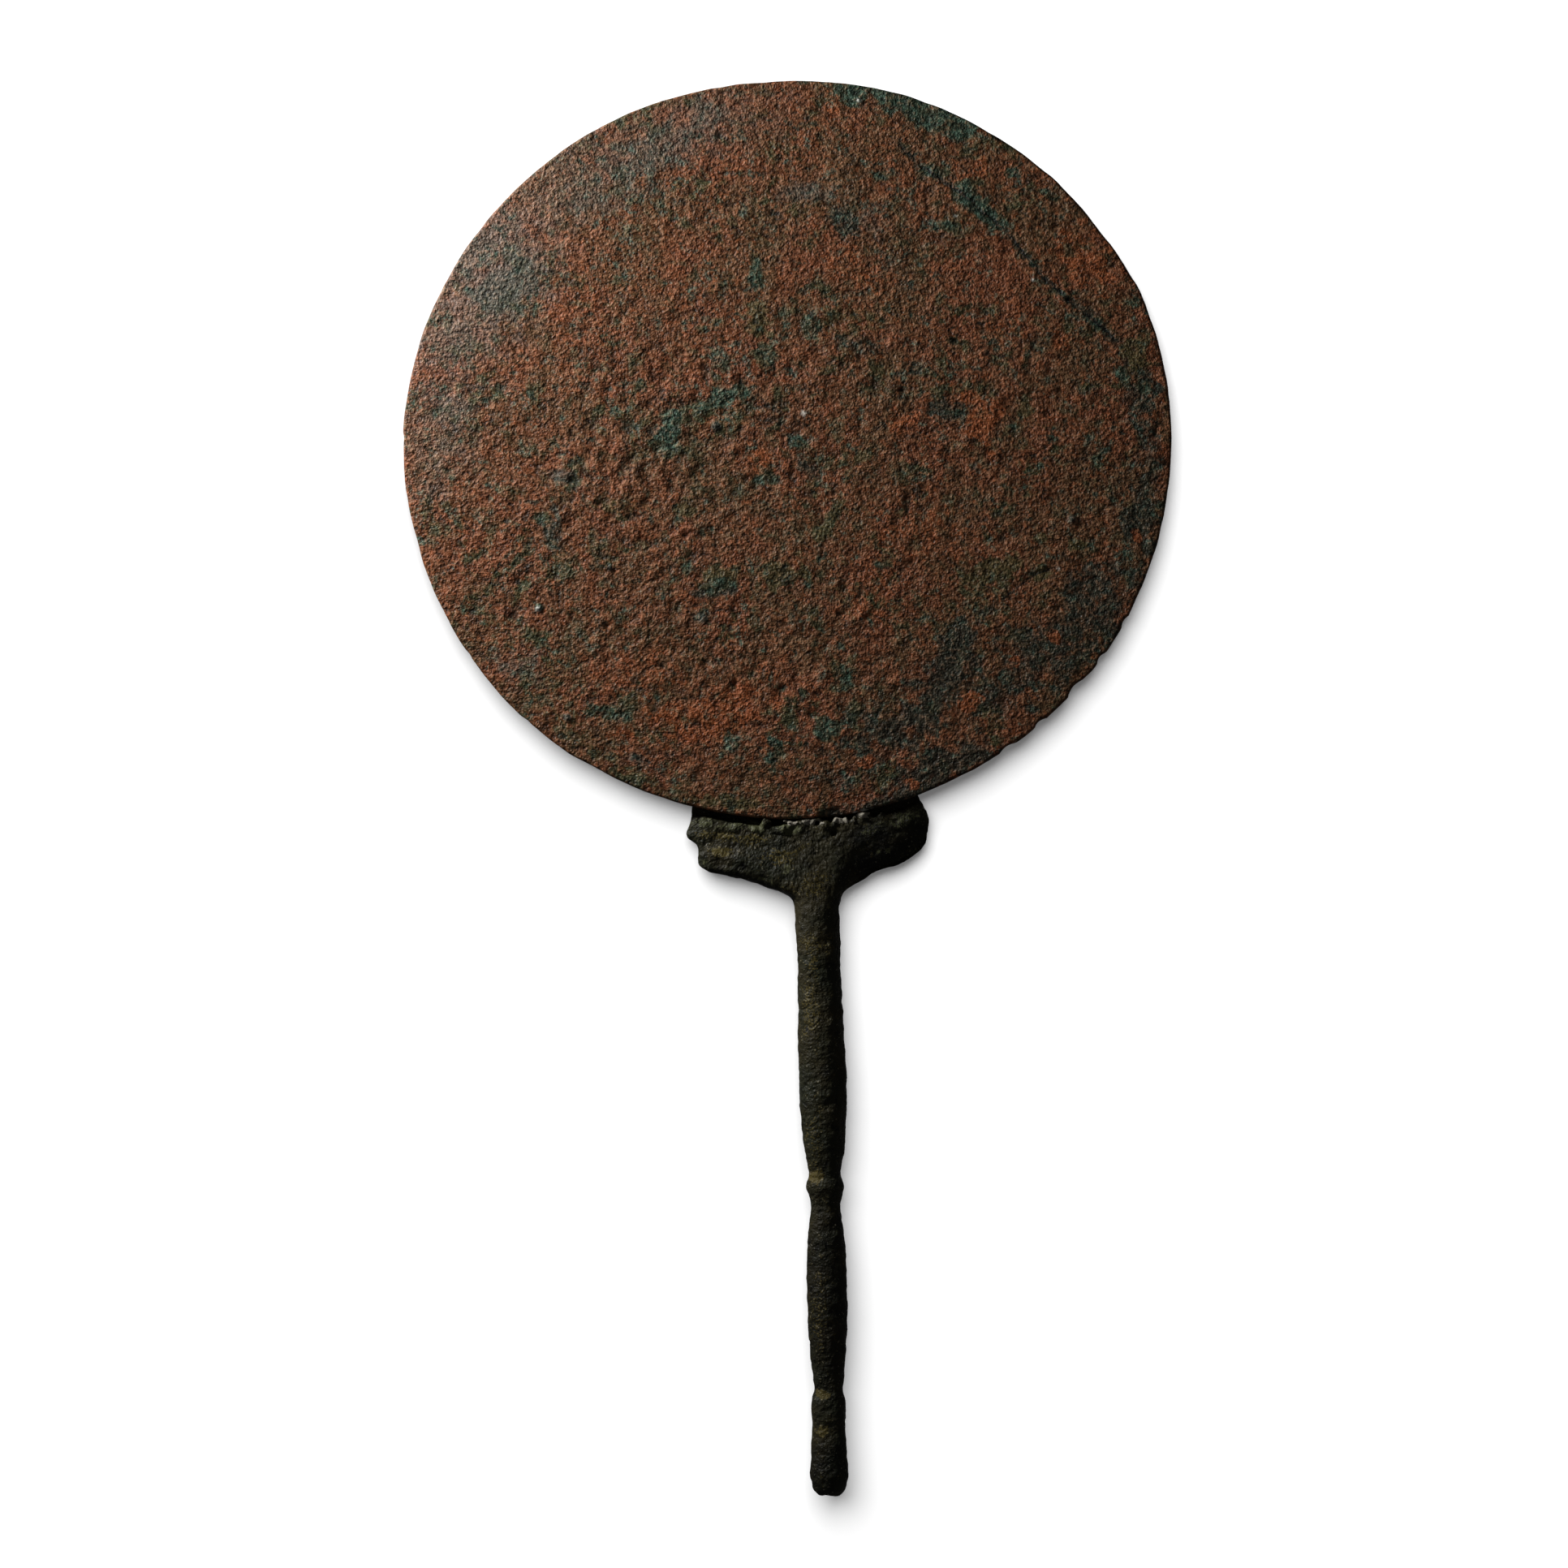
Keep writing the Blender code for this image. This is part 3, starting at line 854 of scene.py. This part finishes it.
class Nodes:
    """Short calls for one material's node tree."""

    def __init__(self, name):
        self.material = bpy.data.materials.new(name)
        self.material.use_nodes = True
        self.tree = self.material.node_tree
        self.shader = self.tree.nodes["Principled BSDF"]
        self.place = self.tree.nodes.new("ShaderNodeTexCoord").outputs["Object"]

    def link(self, start, end):
        self.tree.links.new(start, end)

    def noise(self, size, detail=3.0, roughness=0.6, distortion=0.0):
        """Noise whose blotches are about one size across, in metres."""
        node = self.tree.nodes.new("ShaderNodeTexNoise")
        node.inputs["Scale"].default_value = 1 / size
        node.inputs["Detail"].default_value = detail
        node.inputs["Roughness"].default_value = roughness
        node.inputs["Distortion"].default_value = distortion
        self.link(self.place, node.inputs["Vector"])
        return node.outputs["Fac"]

    def patch(self, name, noise, ragged=2.5, soft=0.09):
        """A painted mask, given by name or as a socket, broken up by noise, with crisp crumbling edges."""
        spread = self.math("MULTIPLY", self.math("SUBTRACT", noise, 0.5), ragged)
        painted = self.mask(name) if isinstance(name, str) else name
        return self.span(self.math("ADD", painted, spread), 0.5 - soft, 0.5 + soft)

    def thin_line(self, name, wander, half_width):
        """A broken line along the places where a painted distance, in millimetres, passes zero."""
        turns = self.math("MULTIPLY", self.math("SUBTRACT", self.noise(0.9 * MM, 3.0), 0.5), wander)
        away = self.math("ABSOLUTE", self.math("ADD", self.mask(name + "_side"), turns), 0.0)
        line = self.span(away, half_width, half_width * 0.4)
        return self.math("MULTIPLY", line, self.mask(name))

    def mask(self, name):
        node = self.tree.nodes.new("ShaderNodeAttribute")
        node.attribute_name = name
        return node.outputs["Fac"]

    def span(self, value, low, high, start=0.0, end=1.0):
        node = self.tree.nodes.new("ShaderNodeMapRange")
        node.inputs["From Min"].default_value = low
        node.inputs["From Max"].default_value = high
        node.inputs["To Min"].default_value = start
        node.inputs["To Max"].default_value = end
        self.link(value, node.inputs["Value"])
        return node.outputs["Result"]

    def math(self, operation, first, second):
        node = self.tree.nodes.new("ShaderNodeMath")
        node.operation = operation
        for value, socket in ((first, node.inputs[0]), (second, node.inputs[1])):
            if isinstance(value, float):
                socket.default_value = value
            else:
                self.link(value, socket)
        return node.outputs[0]

    def mix(self, share, first, second, blend="MIX"):
        """Mixed colours, each given as a colour or as a socket."""
        node = self.tree.nodes.new("ShaderNodeMix")
        node.data_type = "RGBA"
        node.blend_type = blend
        if isinstance(share, float):
            node.inputs["Factor"].default_value = share
        else:
            self.link(share, node.inputs["Factor"])
        for value, socket in ((first, node.inputs[6]), (second, node.inputs[7])):
            if isinstance(value, tuple):
                socket.default_value = (*value, 1.0)
            else:
                self.link(value, socket)
        return node.outputs[2]

    def grey(self, value):
        node = self.tree.nodes.new("ShaderNodeCombineColor")
        for socket in node.inputs[:3]:
            self.link(value, socket)
        return node.outputs["Color"]

    def bump(self, height, distance, below=None):
        node = self.tree.nodes.new("ShaderNodeBump")
        node.inputs["Distance"].default_value = distance
        self.link(height, node.inputs["Height"])
        if below is not None:
            self.link(below, node.inputs["Normal"])
        return node.outputs["Normal"]

    def finish(self, colour, pebble, pebble_bump, grain, specular):
        """The material with its colour, a gloss on the tops of the grain, and two sizes of bump."""
        self.link(colour, self.shader.inputs["Base Color"])
        self.link(self.span(grain, 0.46, 0.64, 0.54, 0.36), self.shader.inputs["Roughness"])
        self.shader.inputs["Specular IOR Level"].default_value = specular
        coarse = self.bump(pebble, pebble_bump)
        self.link(self.bump(grain, GRAIN_BUMP, below=coarse), self.shader.inputs["Normal"])
        return self.material


RED_BROWN = (0.166, 0.055, 0.023)
BROWN = (0.104, 0.051, 0.022)
DARK_BROWN = (0.030, 0.018, 0.010)
RUST_RED = (0.235, 0.062, 0.018)
OLIVE = (0.060, 0.054, 0.020)
# Slate grey, partly painted sheen
SLATE_AND_SHEEN = (0.072, 0.080, 0.064)
# Dark grey-green, partly painted shade
DEEP_AND_SHADE = (0.025, 0.030, 0.021)
# Painted grey sheen
PAINTED_SHEEN = (0.170, 0.135, 0.112)
GREEN_BROWN = (0.042, 0.046, 0.022)
TEAL = (0.060, 0.116, 0.082)
TEAL_DARK = (0.015, 0.030, 0.020)
CRUST_DARK = (0.014, 0.020, 0.015)
KNOB = (0.048, 0.060, 0.050)
CRACK_BLACK = (0.007, 0.009, 0.008)
# Painted glint colour for the tops of the fine grain
PAINTED_GLINT_TOPS = (0.260, 0.150, 0.088)
# Painted glint and highlight colour
GLINT_LIGHT = (0.55, 0.54, 0.48)
DISC_SPECULAR = 0.15
# Height of the finest relief, which is too small for the meshes
DISC_PEBBLES = 0.46 * MM
HANDLE_PEBBLES = 0.42 * MM
GRAIN_BUMP = 0.15 * MM


def disc_patina():
    """Brown ground, patches with painted sheen and shade, flecks, crust, painted grain shade and light, crack,
    gouge, painted glints.
    """
    n = Nodes("disc_patina")
    broad = n.noise(11 * MM, 4.0, 0.6, 0.4)
    blotch = n.noise(3.4 * MM, 5.0, 0.7, 0.3)
    other = n.noise(2.2 * MM, 5.0, 0.75)
    spot = n.noise(1.0 * MM, 4.0, 0.7)
    pebble = n.noise(0.62 * MM, 2.0, 0.55)
    grain = n.noise(0.34 * MM, 1.0, 0.5)
    gathered = n.span(n.noise(10 * MM, 3.0, 0.6), 0.44, 0.60, 0.15, 1.0)
    colour = n.mix(n.span(broad, 0.40, 0.60), BROWN, RED_BROWN)
    colour = n.mix(n.span(spot, 0.52, 0.62, 0.0, 0.55), colour, RUST_RED)
    colour = n.mix(n.math("MULTIPLY", n.span(blotch, 0.50, 0.60), gathered), colour, OLIVE)
    colour = n.mix(n.math("MULTIPLY", n.span(other, 0.47, 0.38), gathered), colour, DARK_BROWN)
    colour = n.mix(n.math("MULTIPLY", n.patch("olive", other, 2.6, 0.2), 0.85), colour, OLIVE)
    # Dark grey-green patina, partly painted shade along the rim
    colour = n.mix(n.math("MULTIPLY", n.patch("deep_and_shade", other, 2.8, 0.25), 0.88), colour, DEEP_AND_SHADE)
    colour = n.mix(n.math("MULTIPLY", n.patch("red", other), 0.75), colour, RUST_RED)
    # Painted grey sheen over the worn, smoother face
    colour = n.mix(n.math("MULTIPLY", n.mask("worn_and_sheen"), n.span(other, 0.6, 0.4, 0.15, 0.6)), colour, PAINTED_SHEEN)
    # Slate grey patina, partly painted sheen
    colour = n.mix(n.math("MULTIPLY", n.patch("slate_and_sheen", other, 2.4, 0.38), 0.85), colour, SLATE_AND_SHEEN)
    halo = n.math("ADD", n.mask("teal"), 0.14)
    colour = n.mix(n.math("MULTIPLY", n.patch(halo, blotch, 3.0, 0.2), 0.85), colour, GREEN_BROWN)
    colour = n.mix(n.math("MULTIPLY", n.mask("low"), n.math("MULTIPLY", gathered, 0.8)), colour, CRUST_DARK)
    verdigris = n.mix(n.span(spot, 0.42, 0.56), TEAL, TEAL_DARK)
    fleck = n.math("MULTIPLY", n.span(n.noise(4.5 * MM, 6.0, 0.85), 0.585, 0.63), gathered)
    colour = n.mix(n.math("MULTIPLY", fleck, 0.75), colour, verdigris)
    colour = n.mix(n.math("MULTIPLY", n.patch("teal", other, 4.2, 0.32), 0.85), colour, verdigris)
    colour = n.mix(n.math("MULTIPLY", n.mask("knob"), 0.85), colour, KNOB)
    colour = n.mix(n.mask("dark"), colour, CRUST_DARK)
    # Painted shade in the fine grain's hollows and painted light on its tops, following its bump
    colour = n.mix(1.0, colour, n.grey(n.span(pebble, 0.32, 0.68, 0.28, 1.62)), "MULTIPLY")
    colour = n.mix(n.math("MULTIPLY", n.thin_line("crack", 2.8, 0.8), 0.6), colour, TEAL_DARK)
    crack = n.math("MULTIPLY", n.thin_line("crack", 1.4, 0.36), n.span(blotch, 0.40, 0.56, 0.35, 1.0))
    gouge = n.thin_line("gouge", 0.4, 0.26)
    colour = n.mix(n.math("MAXIMUM", crack, n.math("MULTIPLY", gouge, 0.8)), colour, CRACK_BLACK)
    # Painted glints: the tops of the fine grain are lightened to a greyish pink
    colour = n.mix(n.span(pebble, 0.54, 0.70, 0.0, 0.45), colour, PAINTED_GLINT_TOPS)
    # Painted glints in specks, and painted highlight along the lower edge
    colour = n.mix(n.mask("glint"), colour, GLINT_LIGHT)
    return n.finish(colour, pebble, DISC_PEBBLES, grain, DISC_SPECULAR)


OLIVE_BLACK = (0.017, 0.018, 0.010)
HANDLE_BROWN = (0.025, 0.021, 0.010)
HANDLE_BLACK = (0.006, 0.006, 0.005)
# Painted nearly black
NEAR_BLACK = (0.003, 0.003, 0.003)
OCHRE = (0.088, 0.068, 0.020)
# Light crust colour, also used as painted highlight
LIGHT_CRUST_AND_HIGHLIGHT = (0.064, 0.066, 0.032)
SOLDER_LIGHT = (0.22, 0.20, 0.16)
HANDLE_SPECULAR = 0.12


def handle_patina():
    """Olive-black ground with nearly black patches, ochre grains, light crust that is partly painted
    highlight, and solder.
    """
    n = Nodes("handle_patina")
    broad = n.noise(7 * MM, 4.0, 0.6, 0.3)
    blotch = n.noise(1.8 * MM, 4.0, 0.65)
    grain = n.noise(0.38 * MM, 2.0, 0.6)
    colour = n.mix(n.span(broad, 0.4, 0.62), OLIVE_BLACK, HANDLE_BROWN)
    colour = n.mix(n.span(blotch, 0.45, 0.3), colour, HANDLE_BLACK)
    # Patches painted nearly black
    colour = n.mix(n.math("MULTIPLY", n.mask("near_black"), 0.9), colour, NEAR_BLACK)
    colour = n.mix(n.math("MULTIPLY", n.patch("ochre", grain), 0.8), colour, OCHRE)
    flecks = n.math("MULTIPLY", n.span(blotch, 0.56, 0.66), n.span(grain, 0.5, 0.64))
    colour = n.mix(n.math("MULTIPLY", flecks, 0.6), colour, OCHRE)
    # Light crust, partly painted highlight on the right lobe's edges
    colour = n.mix(n.math("MULTIPLY", n.patch("crust", grain), 0.9), colour, LIGHT_CRUST_AND_HIGHLIGHT)
    colour = n.mix(n.math("MULTIPLY", n.patch("solder", grain), 0.9), colour, SOLDER_LIGHT)
    pebble = n.noise(0.75 * MM, 2.0, 0.5)
    return n.finish(colour, pebble, HANDLE_PEBBLES, grain, HANDLE_SPECULAR)


# Stage

# Key light: where it stands seen from the disc's middle, how far off, how high, how wide and how strong, and
# how far in front of the disc's middle it points
KEY_AZIMUTH = 150
KEY_DISTANCE = 0.25
KEY_HEIGHT = 0.074
KEY_SIZE = 0.05
KEY_POWER = 1.5
KEY_AIM = 0.02
# A wide soft light over the floor alone gives the pale floor its faint contact shadow
FLOOR_LIGHT_PLACE = (-0.70, 1.80, 2.30)
FLOOR_LIGHT_SIZE = 3.80
FLOOR_LIGHT_POWER = 190.0
FLOOR_HALF = 6.0
FLOOR_GAP = 0.05 * MM
FLOOR_GREY = (0.86, 0.86, 0.86, 1.0)
FLOOR_GLOW = 0.12
FILL_GREY = (0.9, 0.9, 0.9, 1.0)
FILL_STRENGTH = 0.07


def add_floor():
    mesh = bpy.data.meshes.new("floor")
    corners = [(-1, -1), (1, -1), (1, 1), (-1, 1)]
    mesh.from_pydata([(x * FLOOR_HALF, y * FLOOR_HALF, 0) for x, y in corners], [], [(0, 1, 2, 3)])
    floor = add_object("floor", mesh)
    floor.location.z = -FLOOR_GAP
    paper = bpy.data.materials.new("pale_paper")
    paper.use_nodes = True
    shader = paper.node_tree.nodes["Principled BSDF"]
    shader.inputs["Base Color"].default_value = FLOOR_GREY
    shader.inputs["Roughness"].default_value = 0.9
    shader.inputs["Emission Color"].default_value = (1.0, 1.0, 1.0, 1.0)
    shader.inputs["Emission Strength"].default_value = FLOOR_GLOW
    mesh.materials.append(paper)
    floor.visible_diffuse = False
    floor.visible_glossy = False
    return floor


def add_area(name, place, target, size, power):
    light = bpy.data.lights.new(name, "AREA")
    light.shape = "DISK"
    light.size = size
    light.energy = power
    lamp = add_object(name, light)
    lamp.location = place
    lamp.rotation_euler = (Vector(target) - Vector(place)).to_track_quat("-Z", "Y").to_euler()
    return lamp


def light_only(lamp, name, pieces):
    """Lets a light fall on the given pieces alone; its shadows come from everything."""
    group = bpy.data.collections.new(name)
    for piece in pieces:
        group.objects.link(piece)
    lamp.light_linking.receiver_collection = group


def add_lights(floor, pieces):
    middle = disc_middle()
    turn = math.radians(KEY_AZIMUTH)
    place = (
        middle.x + KEY_DISTANCE * math.cos(turn),
        middle.y + KEY_DISTANCE * math.sin(turn),
        KEY_HEIGHT,
    )
    key = add_area("key", place, (middle.x, middle.y - KEY_AIM, 0.0), KEY_SIZE, KEY_POWER)
    light_only(key, "lit_by_key", pieces)
    over = add_area("over_floor", FLOOR_LIGHT_PLACE, (0.0, 0.0, 0.0), FLOOR_LIGHT_SIZE, FLOOR_LIGHT_POWER)
    light_only(over, "lit_from_above", [floor])


def add_world():
    world = bpy.data.worlds.new("pale_world")
    world.use_nodes = True
    background = world.node_tree.nodes["Background"]
    background.inputs["Color"].default_value = FILL_GREY
    background.inputs["Strength"].default_value = FILL_STRENGTH
    bpy.context.scene.world = world


def add_camera():
    """A camera straight above the frame's middle, as far off as the photograph's framing needs."""
    camera = bpy.data.cameras.new("camera")
    camera.lens = LENS
    camera.sensor_width = SENSOR
    camera.clip_start = 0.01
    viewer = add_object("camera", camera)
    x, y = on_object(*FRAME_MIDDLE)
    distance = FRAME_PIXELS * PIXEL * LENS / SENSOR
    viewer.location = (x, y, distance + disc_middle().z)
    bpy.context.scene.camera = viewer


add_camera()
add_world()
bpy.context.scene.view_settings.view_transform = "Standard"

disc_piece = dress_disc(read_disc())
disc_piece.data.materials.append(disc_patina())
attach(disc_piece, "root")
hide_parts("disc")

handle_piece = dress_handle()
handle_piece.data.materials.append(handle_patina())
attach(handle_piece, "root")
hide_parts("handle")

add_lights(add_floor(), [disc_piece, handle_piece])

bpy.context.view_layer.update()
